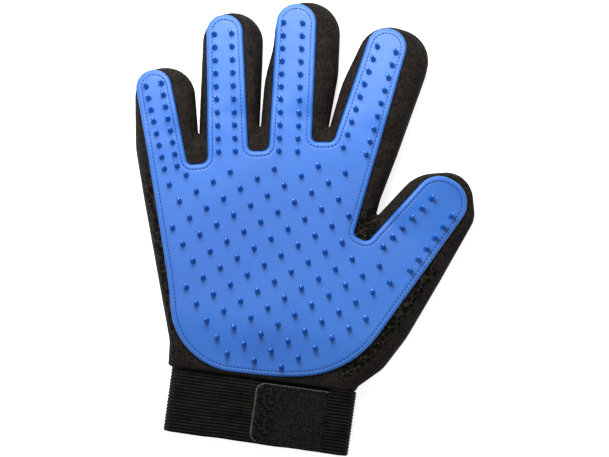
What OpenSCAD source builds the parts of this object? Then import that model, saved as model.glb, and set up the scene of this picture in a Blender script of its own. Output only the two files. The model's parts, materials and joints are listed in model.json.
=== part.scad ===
// Grooming glove lying on its back: a rubber pad with moulded nubs, stitched to a fabric shell
// with five jointed fingers, and a ribbed wrist band closed by a hook-and-loop strap.
// The palm faces +Z, the fingers point along +Y and the thumb is on the +X side. Millimetres.

/* [Shell] */
// Thickness of the air-mesh back
back_t = 2.5; // [1.5:0.5:3.5]
// Height of the side gussets
gusset_h = 15.5; // [12:0.5:20]
// Thickness of the gusset fabric
gusset_t = 2.4; // [1.6:0.2:3]
// Thickness of the fabric facing under the rubber
facing_t = 1.5; // [1:0.25:2.5]

/* [Rubber pad] */
// Thickness of the rubber sheet
pad_t = 2; // [1.5:0.25:3]
// Height of a grooming nub above the sheet
nub_h = 4.5; // [3:0.5:5]
// Diameter of a nub at its base
nub_d = 3; // [2.4:0.2:3.4]
// Diameter of a nub at its tip
nub_tip_d = 1.6; // [1:0.2:2]
// Distance between neighbouring nubs on the palm
palm_pitch = 10.7; // [10:0.1:11.5]

/* [Joints] */
// Gap between two segments of a finger
joint_gap = 0.4; // [0.3:0.1:0.8]
// Height of the finger hinges above the rubber sheet
hinge_rise = 2; // [1:0.5:3]

/* [Wrist] */
// Width of the flattened wrist band
band_w = 100; // [94:1:104]
// Length of the wrist band along the arm
band_l = 35.6; // [30:0.2:45]
// Thickness of the flattened band from back to front
band_h = 16; // [13:0.5:17]
// Thickness of the ribbed elastic
elastic_t = 1.8; // [1.2:0.2:2.4]
// Length of the hook tab along the band
tab_l = 40; // [30:1:46]
// Width of the hook tab across the band
tab_w = 33; // [26:0.5:35]
// Thickness of the hook tab
tab_t = 2.2; // [1.5:0.1:3]

/* [Hidden] */
FINGERS = ["little", "ring", "middle", "index", "thumb"];
$fn = 32;

// Heights of the layers
gusset_z = back_t;
facing_z = gusset_z + gusset_h;
pad_z = facing_z + facing_t;
pad_top = pad_z + pad_t;

// Colours
rubber_blue = "#4a86e0";
fabric_black = "#2a2420";
mesh_black = "#1c1a19";
elastic_black = "#222120";
tab_black = "#181716";

// Shape of the rubber pad, clockwise: [x, y, corner radius]
arc_step = 12;
pad_outline = [
    [-87.3, 41, 60], each fingertip([-83.5, 77.6], -10.4, 9.9), [-64.6, 34.8, 3], [-53.6, 35.8, 4],
    each fingertip([-44, 107.6], -1.4, 10.1), [-31.6, 42.4, 3], [-20, 42.6, 4],
    each fingertip([-5.3, 112.7], 2.5, 11), [3.6, 47.4, 3], [16, 47.4, 4],
    each fingertip([46, 99], 18.2, 11.4), [28.2, -4, 3], [36.2, -8.6, 4],
    each fingertip([77, 16.2], 40, 12.6), [28, -79, 34], [-10, -83.4, 140], [-73, -76, 32], [-75.8, -30, 150],
];

// Shape of the hand without its fingers, clockwise from the little finger's root
palm_outline = [
    [-93.3, 44, 0], [-77, 46, 0], [-58.2, 51.5, 0], [-24.6, 56.5, 0], [13.7, 56, 0], [30, 53, 0],
    [50.6, 39.5, 0], [41.6, 16, 0], [38.6, 5.4, 0.4], [57, -8, 0], [74.5, -29, 0], [56, -60.5, 60],
    [43, -77.5, 20], [28.5, -87.8, 2], [-75.3, -73.4, 1], [-74.6, -62, 20], [-80, -32, 80], [-89, 18, 60],
];

// Each finger: outline (clockwise from its root on the little-finger side), middle of the nub
// pair nearest its tip, lean from +Y towards +X in degrees, nub pitch, nub pairs in all, half the
// distance across a pair at the tip and at the root, pairs beyond the end joint, and pairs
// beyond the knuckle
little = [
    [[-88, 30, 0], [-93.3, 44, 40], each fingertip([-76.9, 72.4], -3, 16.1), [-59.9, 66, 20],
        [-58.8, 51, 0], [-62, 30, 0]],
    [-83, 78.8], -11.6, 6.57, 8, 4.3, 3.6, 3, 5,
];
ring = [
    [[-57, 38, 0], [-58.2, 51.5, 0], [-57.8, 68, 40], each fingertip([-39.1, 102.2], 0, 16.5),
        [-23.5, 90, 60], [-25.3, 56, 0], [-26, 38, 0]],
    [-45, 106.8], -1.9, 7.16, 10, 4.75, 4.6, 4, 7,
];
middle = [
    [[-25, 38, 0], [-24.3, 56, 0], [-22.2, 82, 60], [-17.4, 100, 40], each fingertip([2.3, 106.7], 0, 17.8),
        [18.3, 84, 40], [13, 56, 0], [11, 38, 0]],
    [-6.5, 112.8], 2.3, 7.03, 11, 5.25, 5.1, 5, 8,
];
index = [
    [[12, 40, 0], [13.8, 56, 0], [20.5, 80, 60], each fingertip([49, 92.5], 16, 17.6), [66.6, 84, 40],
        [50.6, 39.5, 0], [46, 31, 0], [20, 36, 0]],
    [44.8, 98.2], 17.6, 7.29, 9, 5.3, 6.7, 4, 7,
];
thumb = [
    [[32, -6, 0], [38.6, 5.4, 0], [61, 28.7, 22], [91.4, 30.2, 15], [93.7, 5, 14], [71, -34.5, 0], [66, -42, 0]],
    [74.5, 11.7], 41, 7.46, 6, 7.4, 9.7, 2, 4,
];
finger_table = [little, ring, middle, index, thumb];

// The palm's nub lattice: its two directions, one nub's place, and the field that it fills
lattice_down = palm_pitch * [sin(31.5), -cos(31.5)];
lattice_across = palm_pitch * [cos(30), sin(30)];
lattice_anchor = [-9.5, 0];
lattice_reach = 9;
nub_field = [
    [-76, 27], [-75, -2], [-69, -14], [-68, -35], [-47, -70], [-12, -79], [-8, -79], [38, -52],
    [39.5, -42], [49, -34], [51, -26], [43, -16], [30, -13], [25, -4], [27, 10], [22.5, 20],
    [26, 30], [25, 36], [5, 36.5], [-20, 34.5], [-45, 33.5], [-66, 32],
];

// Wrist band: middle of the seam between hand and band, lean of the band, and the hem
wrist_seam = [-23.4, -80.6];
wrist_lean = -8;
hem_l = 1.8;
hem_over = 1.5;
hem_gap = 0.2;
band_top = -hem_l - hem_gap / 2;
mouth_w = band_w - 2 * gusset_t - 2;

// Strap: a leaf of elastic folded over the thumb side of the band, and the hook tab sewn to it
layer_gap = 0.3;
patch_t = 0.9;
patch_inset = 2;
tab_right = 37.4;
strap_right = band_w / 2 + 0.6;
strap_z = band_h + patch_t + layer_gap;
tab_mid_y = band_top - band_l / 2 - 0.8;
tab_corner = 5;

// Geometry helpers
function unit(v) = v / norm(v);
function across(v) = [v.y, -v.x];
function fingertip(centre, lean, r) = [
    for (side = [-1, 1])
    let (along = [sin(lean), cos(lean)])
    let (corner = centre + r * along + side * r * across(along))
    [corner.x, corner.y, 0.995 * r]
];
function xy(p) = [p.x, p.y];

// Points of the arc of radius r that rounds the corner at b between a and c
function corner_arc(a, b, c, r) =
    let (u = unit(a - b), w = unit(c - b))
    let (half = acos(max(-1, min(1, u * w))) / 2)
    r <= 0 || half > 89.5 ? [b] :
    let (centre = b + unit(u + w) * r / sin(half))
    let (from = b + u * r / tan(half) - centre, to = b + w * r / tan(half) - centre)
    let (start = atan2(from.y, from.x), swept = atan2(to.y, to.x) - start)
    let (turn = swept > 180 ? swept - 360 : swept < -180 ? swept + 360 : swept)
    let (steps = max(1, ceil(abs(turn) / arc_step)))
    [for (i = [0 : steps]) centre + r * [cos(start + turn * i / steps), sin(start + turn * i / steps)]];

function rounded(outline) =
    let (n = len(outline))
    [
        for (i = [0 : n - 1])
        each corner_arc(xy(outline[(i + n - 1) % n]), xy(outline[i]), xy(outline[(i + 1) % n]), outline[i][2])
    ];

// A clockwise outline moved inwards by d; hollow corners grow and round ones shrink
function inset(outline, d) =
    let (n = len(outline))
    [
        for (i = [0 : n - 1])
        let (b = xy(outline[i]))
        let (e1 = unit(b - xy(outline[(i + n - 1) % n])), e2 = unit(xy(outline[(i + 1) % n]) - b))
        let (n1 = across(e1), n2 = across(e2))
        let (moved = b + d * (n1 + n2) / (1 + n1 * n2))
        let (hollow = e1.x * e2.y - e1.y * e2.x > 0)
        [moved.x, moved.y, max(0, outline[i][2] + (hollow ? d : -d))]
    ];

// True when p lies inside the polygon
function crossings(p, polygon_points) =
    let (n = len(polygon_points))
    [
        for (i = [0 : n - 1])
        let (a = polygon_points[i], b = polygon_points[(i + 1) % n])
        if ((a.y > p.y) != (b.y > p.y) && p.x < a.x + (p.y - a.y) * (b.x - a.x) / (b.y - a.y)) i
    ];
function inside(p, polygon_points) = len(crossings(p, polygon_points)) % 2 == 1;

// Fields of a finger's row in the table
function outline_of(f) = f[0];
function lean_of(f) = f[2];
function pitch_of(f) = f[3];
function pairs_of(f) = f[4];
function pairs_beyond_joint(f) = f[7];
function pairs_beyond_knuckle(f) = f[8];
function joint_from_top(pairs, f) = (pairs - 0.5) * pitch_of(f);
function half_spacing(f, row) = f[5] + (f[6] - f[5]) * row / (pairs_of(f) - 1);

far = 60;
strip = 32;
pad_strip = 21;

// Puts its children in a finger's own frame: Y along the finger, 0 at the top nub pair
module in_finger(f) {
    translate([f[1].x, f[1].y, 0])
        rotate([0, 0, -lean_of(f)])
            children();
}

// Half-planes and strips across a finger, between two distances from its top nub pair
module finger_strip(f, low, high, half_w) {
    in_finger(f)
        translate([-half_w, low])
            square([2 * half_w, high - low]);
}

module tip_strip(f, half_w) {
    finger_strip(f, -joint_from_top(pairs_beyond_joint(f), f) + joint_gap / 2, far, half_w);
}

module base_strip(f, half_w) {
    knuckle = -joint_from_top(pairs_beyond_knuckle(f), f);
    end_joint = -joint_from_top(pairs_beyond_joint(f), f);
    finger_strip(f, knuckle + joint_gap / 2, end_joint - joint_gap / 2, half_w);
}

module beyond_knuckle(f, half_w, past = 0) {
    finger_strip(f, past - joint_from_top(pairs_beyond_knuckle(f), f) - joint_gap / 2, far, half_w);
}

module finger_2d(f, d = 0) {
    polygon(rounded(inset(outline_of(f), d)));
}

// The hand's outline up to the knuckles, or with d the hollow that a wall of that thickness leaves,
// which runs just past the knuckles so that the wall is open there
module hand_2d(d = 0) {
    polygon(rounded(inset(palm_outline, d)));
    for (f = finger_table)
        difference() {
            finger_2d(f, d);
            beyond_knuckle(f, strip, d > 0 ? joint_gap / 4 : 0);
        }
}

module in_wrist() {
    translate([wrist_seam.x, wrist_seam.y, 0])
        rotate([0, 0, wrist_lean])
            children();
}

// The hand's wall, open towards the wrist
module hand_wall_2d() {
    difference() {
        hand_2d();
        hand_2d(gusset_t);
        in_wrist()
            translate([-mouth_w / 2, -2 * hem_l])
                square([mouth_w, 6 * hem_l]);
    }
}

module layer(z, t) {
    translate([0, 0, z])
        linear_extrude(height = t)
            children();
}

// One moulded nub, standing on the rubber sheet at p
module nub(p) {
    sunk = pad_t / 2;
    translate([p.x, p.y, pad_top - sunk])
        cylinder(h = sunk, d = nub_d);
    translate([p.x, p.y, pad_top])
        cylinder(h = nub_h, d1 = nub_d, d2 = nub_tip_d);
}

module nub_pairs(f, first, last) {
    in_finger(f)
        for (row = [first : last], side = [-1, 1])
            nub([side * half_spacing(f, row), -row * pitch_of(f)]);
}

// Rubber pads
module palm_pad() {
    color(rubber_blue) {
        layer(pad_z, pad_t)
            difference() {
                polygon(rounded(pad_outline));
                for (f = finger_table)
                    beyond_knuckle(f, pad_strip);
            }
        for (i = [-lattice_reach : lattice_reach], j = [-lattice_reach : lattice_reach])
            let (p = lattice_anchor + i * lattice_down + j * lattice_across)
            if (inside(p, nub_field)) nub(p);
        for (f = finger_table)
            nub_pairs(f, pairs_beyond_knuckle(f), pairs_of(f) - 1);
    }
}

module base_pad(f) {
    color(rubber_blue) {
        layer(pad_z, pad_t)
            intersection() {
                polygon(rounded(pad_outline));
                base_strip(f, pad_strip);
            }
        nub_pairs(f, pairs_beyond_joint(f), pairs_beyond_knuckle(f) - 1);
    }
}

module tip_pad(f) {
    color(rubber_blue) {
        layer(pad_z, pad_t)
            intersection() {
                polygon(rounded(pad_outline));
                tip_strip(f, pad_strip);
            }
        nub_pairs(f, 0, pairs_beyond_joint(f) - 1);
    }
}

// Fabric facing that the rubber is stitched to
module palm_facing() {
    color(fabric_black)
        layer(facing_z, facing_t)
            hand_2d();
}

module base_facing(f) {
    color(fabric_black)
        layer(facing_z, facing_t)
            intersection() {
                finger_2d(f);
                base_strip(f, strip);
            }
}

module tip_facing(f) {
    color(fabric_black)
        layer(facing_z, facing_t)
            intersection() {
                finger_2d(f);
                tip_strip(f, strip);
            }
}

// Side gussets
module base_gusset(f) {
    color(fabric_black)
        layer(gusset_z, gusset_h)
            intersection() {
                difference() {
                    finger_2d(f);
                    finger_2d(f, gusset_t);
                }
                base_strip(f, strip);
            }
}

module tip_gusset(f) {
    color(fabric_black)
        layer(gusset_z, gusset_h)
            intersection() {
                difference() {
                    finger_2d(f);
                    finger_2d(f, gusset_t);
                }
                tip_strip(f, strip);
            }
}

module side_gusset_little() {
    color(fabric_black)
        layer(gusset_z, gusset_h)
            intersection() {
                hand_wall_2d();
                translate([-110, -100])
                    square([40, 160]);
            }
}

module side_gusset_thumb() {
    color(fabric_black)
        layer(gusset_z, gusset_h)
            intersection() {
                hand_wall_2d();
                translate([10, -110])
                    square([90, 100]);
            }
}

// Walls between two fingers, below the bottom of the gap
module web(left, bottom, right, top) {
    color(fabric_black)
        layer(gusset_z, gusset_h)
            intersection() {
                hand_wall_2d();
                translate([left, bottom])
                    square([right - left, top - bottom]);
            }
}

module web_little_ring() {
    web(-69, 30, -50, 62);
}

module web_ring_middle() {
    web(-34, 30, -16, 66);
}

module web_middle_index() {
    web(4, 30, 24, 66);
}

module web_index_thumb() {
    web(28, -10, 66, 56);
}

// Air-mesh back
module back_panel() {
    color(mesh_black)
        layer(0, back_t)
            hand_2d();
}

module base_back(f) {
    color(mesh_black)
        layer(0, back_t)
            intersection() {
                finger_2d(f);
                base_strip(f, strip);
            }
}

module tip_back(f) {
    color(mesh_black)
        layer(0, back_t)
            intersection() {
                finger_2d(f);
                tip_strip(f, strip);
            }
}

// A flattened ring in the wrist frame: outer size, wall, and where it starts and ends
module wrist_ring(w, h, wall, low, high) {
    in_wrist()
        translate([0, high, 0])
            rotate([90, 0, 0])
                linear_extrude(height = high - low)
                    difference() {
                        flat_oval(w, h, 0);
                        flat_oval(w, h, wall);
                    }
}

module flat_oval(w, h, d) {
    side = w / 2;
    polygon(rounded(inset([
        [-side, 0, h / 2.1], [-side, h, h / 2.1], [side, h, h / 2.1], [side, 0, h / 2.1],
    ], d)));
}

module wrist_hem() {
    color(fabric_black)
        wrist_ring(band_w + 2 * hem_over, band_h + hem_over, elastic_t + hem_over, -hem_l, -hem_gap);
}

module wrist_elastic() {
    color(elastic_black)
        wrist_ring(band_w, band_h, elastic_t, band_top - band_l, band_top);
}

// Soft loop patch under the hook tab
module loop_patch() {
    color(tab_black)
        in_wrist()
            translate([tab_right - tab_l + patch_inset, tab_mid_y - tab_w / 2 + patch_inset, band_h])
                cube([tab_l - 2 * patch_inset, tab_w - 2 * patch_inset, patch_t]);
}

module strap_elastic() {
    color(elastic_black)
        in_wrist()
            translate([tab_right + joint_gap, band_top - band_l, strap_z])
                cube([strap_right - tab_right - joint_gap, band_l, elastic_t]);
}

module hook_tab() {
    left = tab_right - tab_l;
    low = tab_mid_y - tab_w / 2;
    high = tab_mid_y + tab_w / 2;
    color(tab_black)
        in_wrist()
            translate([0, 0, strap_z])
                linear_extrude(height = tab_t)
                    polygon(rounded([
                        [left, low, tab_corner], [left, high, tab_corner],
                        [tab_right, high, 0], [tab_right, low, 0],
                    ]));
}

palm_pad();
palm_facing();
back_panel();
side_gusset_little();
side_gusset_thumb();
web_little_ring();
web_ring_middle();
web_middle_index();
web_index_thumb();
wrist_hem();
wrist_elastic();
loop_patch();
strap_elastic();
hook_tab();
for (i = [0 : len(FINGERS) - 1]) {
    base_pad(finger_table[i]);
    base_facing(finger_table[i]);
    base_gusset(finger_table[i]);
    base_back(finger_table[i]);
    tip_pad(finger_table[i]);
    tip_facing(finger_table[i]);
    tip_gusset(finger_table[i]);
    tip_back(finger_table[i]);
}
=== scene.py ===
"""Grooming glove: a sewn fabric shell, a nubbed rubber pad and a ribbed cuff with a hook-and-loop strap.

Outlines and heights are in millimetres until add_mesh turns them into metres. The glove lies on its
back: the palm faces +Z, the fingers point along +Y and the thumb is on the +X side.
"""

import json
import math

import bpy
import numpy as np
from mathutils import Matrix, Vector
from mathutils.geometry import delaunay_2d_cdt
from mathutils.kdtree import KDTree


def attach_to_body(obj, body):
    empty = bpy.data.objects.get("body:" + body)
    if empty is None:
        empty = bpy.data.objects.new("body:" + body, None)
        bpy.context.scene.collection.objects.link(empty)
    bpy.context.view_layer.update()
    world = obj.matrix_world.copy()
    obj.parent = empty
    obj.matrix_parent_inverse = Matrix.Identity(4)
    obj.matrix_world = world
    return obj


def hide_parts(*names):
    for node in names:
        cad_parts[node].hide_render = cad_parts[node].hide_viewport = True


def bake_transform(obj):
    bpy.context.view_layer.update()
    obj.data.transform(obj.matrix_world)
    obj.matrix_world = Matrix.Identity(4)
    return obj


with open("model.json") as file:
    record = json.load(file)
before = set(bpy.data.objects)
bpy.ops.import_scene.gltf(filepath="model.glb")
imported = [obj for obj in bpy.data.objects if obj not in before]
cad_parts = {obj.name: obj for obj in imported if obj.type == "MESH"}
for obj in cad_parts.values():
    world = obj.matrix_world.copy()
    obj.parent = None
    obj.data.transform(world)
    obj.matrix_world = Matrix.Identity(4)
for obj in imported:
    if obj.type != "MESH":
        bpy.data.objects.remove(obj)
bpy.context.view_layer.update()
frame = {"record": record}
JOINTS = {j["name"]: j for j in frame["record"]["behaviour"]["joints"]}
MM = 0.001
rng = np.random.default_rng(7)


# ---------------------------------------------------------------- outlines, in millimetres

def fingertip(centre, lean, r):
    """Two rounded corners that make a round fingertip."""
    along = np.array([math.sin(math.radians(lean)), math.cos(math.radians(lean))])
    side = np.array([along[1], -along[0]])
    corners = [np.array(centre) + r * along + s * r * side for s in (-1, 1)]
    return [(c[0], c[1], 0.995 * r) for c in corners]


def corner_arc(a, b, c, r, step=6.0):
    """Points of the arc of radius r that rounds the corner at b."""
    u, w = (a - b) / np.linalg.norm(a - b), (c - b) / np.linalg.norm(c - b)
    half = math.acos(max(-1, min(1, u @ w))) / 2
    if r <= 0 or half > math.radians(89.5):
        return [b]
    centre = b + (u + w) / np.linalg.norm(u + w) * r / math.sin(half)
    start, end = b + u * r / math.tan(half) - centre, b + w * r / math.tan(half) - centre
    a0 = math.atan2(start[1], start[0])
    turn = (math.atan2(end[1], end[0]) - a0 + math.pi) % (2 * math.pi) - math.pi
    n = max(1, math.ceil(abs(math.degrees(turn)) / step))
    angles = [a0 + turn * i / n for i in range(n + 1)]
    return [centre + r * np.array([math.cos(a), math.sin(a)]) for a in angles]


def rounded(outline, step=1.0):
    """The outline with rounded corners, as points at most step apart."""
    n = len(outline)
    flat = [np.array(p[:2], float) for p in outline]
    points = []
    for i in range(n):
        points += corner_arc(flat[i - 1], flat[i], flat[(i + 1) % n], outline[i][2])
    dense = []
    for a, b in zip(points, points[1:] + points[:1]):
        length = np.linalg.norm(b - a)
        if length < 1e-4:
            continue
        k = max(1, math.ceil(length / step))
        dense += [a + (b - a) * i / k for i in range(k)]
    return np.array(dense)


def inward(loop):
    """Unit normals of a clockwise loop, pointing inwards."""
    before, after = loop - np.roll(loop, 1, 0), np.roll(loop, -1, 0) - loop
    t = before / np.linalg.norm(before, axis=1)[:, None] + after / np.linalg.norm(after, axis=1)[:, None]
    t /= np.maximum(np.linalg.norm(t, axis=1), 1e-9)[:, None]
    return np.stack([t[:, 1], -t[:, 0]], 1)


def nearest_vertices(points, loop):
    tree = KDTree(len(loop))
    for i, p in enumerate(loop):
        tree.insert((p[0], p[1], 0), i)
    tree.balance()
    return np.array([tree.find((p[0], p[1], 0))[1] for p in points])


def is_inside(points, loop):
    a, b = loop, np.roll(loop, -1, 0)
    low, high = np.minimum(a[:, 1], b[:, 1]), np.maximum(a[:, 1], b[:, 1])
    result = np.zeros(len(points), bool)
    for chunk in np.array_split(np.argsort(points[:, 1]), max(1, len(points) // 300)):
        x, y = points[chunk, 0, None], points[chunk, 1, None]
        use = (low <= y.max()) & (high >= y.min())
        p, q = a[use], b[use]
        crossed = (p[:, 1] > y) != (q[:, 1] > y)
        slope = (q[:, 0] - p[:, 0]) / np.where(q[:, 1] == p[:, 1], 1e-9, q[:, 1] - p[:, 1])
        result[chunk] = (crossed & (x < p[:, 0] + (y - p[:, 1]) * slope)).sum(1) % 2 == 1
    return result


def distance(points, loop):
    """Distance from each point to a closed loop, positive inside it."""
    points = np.asarray(points, float)
    near, gap = nearest_vertices(points, loop), np.full(len(points), 1e9)
    for k in (-2, -1, 0, 1):
        a = loop[(near + k) % len(loop)]
        ab = loop[(near + k + 1) % len(loop)] - a
        t = np.clip(((points - a) * ab).sum(1) / np.maximum((ab ** 2).sum(1), 1e-12), 0, 1)
        gap = np.minimum(gap, np.sqrt(((points - a - t[:, None] * ab) ** 2).sum(1)))
    return np.where(is_inside(points, loop), gap, -gap)


def depths(points, loop):
    """Distance inside the loop, with exactly 0 on it."""
    gap = distance(points, loop)
    return np.where(gap < 0.01, 0, gap)


def smooth(x, low, high):
    t = np.clip((x - low) / (high - low), 0, 1)
    return t * t * (3 - 2 * t)


# Corners of the rubber pad: x, y and radius
PAD = rounded([
    (-86.5, 41, 60), *fingertip((-83.1, 77.4), -10.4, 9.8), (-64.4, 34.8, 3), (-53.6, 35.8, 4),
    *fingertip((-44.2, 107.6), -1.4, 9.9), (-31, 42.4, 3), (-20, 42.6, 4),
    *fingertip((-4.7, 112.5), 2.5, 11), (3.8, 47.4, 3), (15.6, 47.4, 4),
    *fingertip((44.7, 99.3), 18.2, 10.8), (26.7, -4, 3), (34.2, -7.6, 4),
    (70.7, 32.5, 14.2), (96, 18.5, 14.2), (25.7, -79, 55), (-10, -82.6, 140), (-71.5, -75.4, 38),
    (-75, -30, 150),
])
# The shell's outline; at the wrist it runs on past the hem, where it is cut off
SHELL = rounded([
    (-93.3, 44, 40), *fingertip((-76.9, 72.4), -3, 16.1), (-59.9, 66, 20), (-58.85, 52.2, 0),
    (-58.3, 52.2, 0),
    (-57.8, 68, 40), *fingertip((-39.1, 102.2), 0, 16.5), (-23.5, 90, 60), (-25, 56.3, 0), (-24.45, 56.3, 0),
    (-22.2, 82, 60), (-17.4, 100, 40), *fingertip((2.3, 106.7), 0, 17.8), (18.3, 84, 40), (13.15, 56, 0),
    (13.7, 56, 0), (20.5, 80, 60), *fingertip((49, 92.5), 16, 17.6), (66.6, 84, 40), (50.6, 39.5, 14),
    (41.6, 16, 8), (38.6, 5.4, 0.8), (61, 29.6, 22), (91.2, 32, 15), (93.7, 5, 14), (74.5, -29, 30),
    (56, -60.5, 60), (43, -77.5, 20), (28.5, -87.8, 4), (25, -112, 0), (-78.5, -98, 0), (-75.3, -73.4, 6),
    (-74.6, -62, 20), (-80, -32, 80), (-89, 18, 60),
])

# Each finger: middle of its top nub pair, lean from +Y, nub pitch, nub pairs, half the distance
# across a pair at the tip and at the root, and how far past the knuckle its bending zone goes
FINGERS = {
    "little": ((-83, 78.8), -11.6, 6.57, 8, 4.3, 3.6, 6.0),
    "ring": ((-45, 106.8), -1.9, 7.16, 10, 4.75, 4.6, 12.0),
    "middle": ((-6.5, 112.8), 2.3, 7.03, 11, 5.25, 5.1, 12.0),
    "index": ((44.8, 98.2), 17.6, 7.29, 9, 5.3, 6.7, 12.0),
    "thumb": ((74.5, 11.7), 41, 7.46, 6, 7.4, 9.7, 7.5),
}
KNUCKLE_CUT = -1.5
# Lines between neighbouring fingers: a point at the bottom of the gap, and a direction
GAPS = [
    ((-58.55, 52), (-0.042, 1)), ((-24.7, 56), (0.0635, 1)), ((13.4, 56), (0.2375, 1)),
    ((38.6, 5.4), (0.6, 1)),
]


class Finger:
    """One finger: where its nubs stand, and where its skin bends at the CAD's two hinges."""

    def __init__(self, name, top, lean, pitch, pairs, tip_half, root_half, zone):
        self.name, self.pitch, self.pairs = name, pitch, pairs
        self.halves, self.zone = (tip_half, root_half), zone
        self.top = np.array(top, float)
        self.along = np.array([math.sin(math.radians(lean)), math.cos(math.radians(lean))])
        self.side = np.array([self.along[1], -self.along[0]])
        self.knuckle = np.array(JOINTS[name + "_knuckle"]["pos_m"]) / MM
        self.end = np.array(JOINTS[name + "_end_joint"]["pos_m"]) / MM
        self.cut = zone + 1.0
        between = float((self.end[:2] - self.knuckle[:2]) @ self.along)
        self.end_zone = min(7.0, between - self.cut - 0.5)

    def coordinates(self, points):
        """Distance along the finger from its knuckle, and across it."""
        d = points - self.knuckle[:2]
        return d @ self.along, d @ self.side


fingers = [Finger(name, *row) for name, row in FINGERS.items()]


def finger_of(points):
    """Which finger's strip of the hand each point is in."""
    index = np.zeros(len(points), int)
    for origin, direction in GAPS:
        d = points - np.array(origin)
        index += (d[:, 0] * direction[1] - d[:, 1] * direction[0] > 0).astype(int)
    return index


def section_of(points):
    """0 for the hand, then 1 + 2 * finger for its knuckle section and 2 + 2 * finger for its end."""
    owner = finger_of(points)
    out = np.zeros(len(points), int)
    for i, f in enumerate(fingers):
        s, _ = f.coordinates(points)
        mine = (owner == i) & (s > KNUCKLE_CUT)
        out[mine] = np.where(s[mine] < f.cut, 1 + 2 * i, 2 + 2 * i)
    return out


# Half the length of the line that cuts across a finger
CUT_HALF = 26.0


def line_points(a, b, loop, fine, coarse=1.2, edge=6.5):
    """Points from a to b, close together where the line is near the loop."""
    count = int(np.linalg.norm(b - a) / fine)
    points = a + (b - a) * np.linspace(0, 1, count + 1)[:, None]
    near = np.abs(distance(points, loop)) < edge
    return points[near | (np.arange(count + 1) % int(coarse / fine) == 0)]


def cut_lines(loop, fine):
    """The lines across every finger where its sections meet."""
    ends = [(f.knuckle[:2] + at * f.along, CUT_HALF * f.side) for f in fingers for at in (KNUCKLE_CUT, f.cut)]
    return [line_points(c - w, c + w, loop, fine) for c, w in ends]


# Wrist frame: X across the band, Y along the arm, on the floor
WRIST = np.array([-23.4, -80.6])
WRIST_TURN = 8
WX = np.array([math.cos(math.radians(WRIST_TURN)), -math.sin(math.radians(WRIST_TURN))])
WY = np.array([math.sin(math.radians(WRIST_TURN)), math.cos(math.radians(WRIST_TURN))])


def wrist_y(points):
    return (points - WRIST) @ WY


def from_wrist(x, y, z):
    x, y, z = np.broadcast_arrays(np.asarray(x, float), np.asarray(y, float), np.asarray(z, float))
    flat = WRIST + x[..., None] * WX + y[..., None] * WY
    return np.concatenate([flat, z[..., None]], -1)


# ---------------------------------------------------------------- heights, in millimetres

# Heights of the fabric under the rubber, and of the shell's widest line
PAD_BOTTOM, Z_MID = 19.3, 9.0
# The fingers lie rolled by 9 degrees, and their tips droop
ROLL, DROOP, DIP = math.tan(math.radians(9)), 3.0, 0.4
# Width of the rounding under the shell, and how far in the seam of the back lies
BULGE, SEAM = 7.0, 4.0
# Wave number, direction and phase of each of the waves that make the fabric's creases
waves = [
    (rng.uniform(0.25, 0.75), rng.uniform(0, 2 * math.pi), rng.uniform(0, 2 * math.pi)) for _ in range(9)
]


def wrinkle(points):
    """Soft creases, about -1 to 1."""
    total = 0
    for k, direction, phase in waves:
        along = points @ np.array([math.cos(direction), math.sin(direction)])
        total = total + np.sin(k * along + phase)
    return total / 4


def pad_bottom(points):
    """Height of the fabric under the rubber: rolled on the fingers and lower at the wrist."""
    z = np.full(len(points), PAD_BOTTOM)
    owner = finger_of(points)
    for i, f in enumerate(fingers):
        s, u = f.coordinates(points)
        roll = (-ROLL if f.name == "thumb" else ROLL) * np.clip(u, -15, 15)
        reach = (f.top - f.knuckle[:2]) @ f.along
        change = smooth(s, KNUCKLE_CUT, 16) * (roll - 0.4) - DIP * np.exp(-((s - 2) / 5) ** 2)
        change -= DROOP * np.clip((s - 4) / reach, 0, 1.2) ** 2
        z += np.where(owner == i, change, 0)
    z -= 2.3 * (1 - smooth(wrist_y(points), 1, 30))
    return z + 0.18 * wrinkle(points * 0.35)


def shell_top(points, d_shell, d_pad):
    """Height of the fabric on the palm's side: from its widest line up to the pad's edge."""
    outside = np.maximum(-d_pad, 0)
    t = np.clip(d_shell, 0, None) / np.maximum(np.clip(d_shell, 0, None) + outside, 1e-6)
    edge = pad_bottom(points) - 0.15
    crown = np.sqrt(np.clip(1 - (1 - t) ** 2, 0, 1))
    loose = smooth(outside, 0.5, 4) * smooth(d_shell, 0.5, 3)
    return Z_MID + (edge - Z_MID) * crown + 0.3 * loose * wrinkle(points)


def shell_bottom(points, d_shell):
    """Height of the glove's back, with a groove at its seam."""
    t = np.clip(d_shell / BULGE, 0, 1)
    z = Z_MID * (1 - np.sqrt(1 - (1 - t) ** 2)) + 0.15
    z -= 0.7 * np.exp(-((d_shell - SEAM) / 0.5) ** 2)
    return np.maximum(z, 0.05) + 0.25 * smooth(d_shell, 5, 9) * (1 + wrinkle(points)) * 0.5


# The pad's edge: distance inwards, and height above the fabric under it
PAD_PROFILE = [
    (0, -0.3), (0.15, 0.65), (0.4, 1.2), (0.75, 1.6), (1.2, 1.86), (1.7, 1.95), (2.3, 1.95), (2.65, 1.88),
    (2.95, 1.8), (3.25, 1.86), (3.7, 1.97), (4.5, 2.0), (6.0, 2.0),
]
STITCH_AT = 2.9


def pad_top(points, d_pad):
    rise = np.interp(d_pad, [p[0] for p in PAD_PROFILE], [p[1] for p in PAD_PROFILE])
    return pad_bottom(points) + rise


# ---------------------------------------------------------------- meshes

def ring_points(loop, insets):
    """Points along the loop moved inwards, without those that come too near another side."""
    normal = inward(loop)
    out = []
    for d in insets:
        p = loop + d * normal
        out.append(p[distance(p, loop) > 0.93 * d])
    return out


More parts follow.
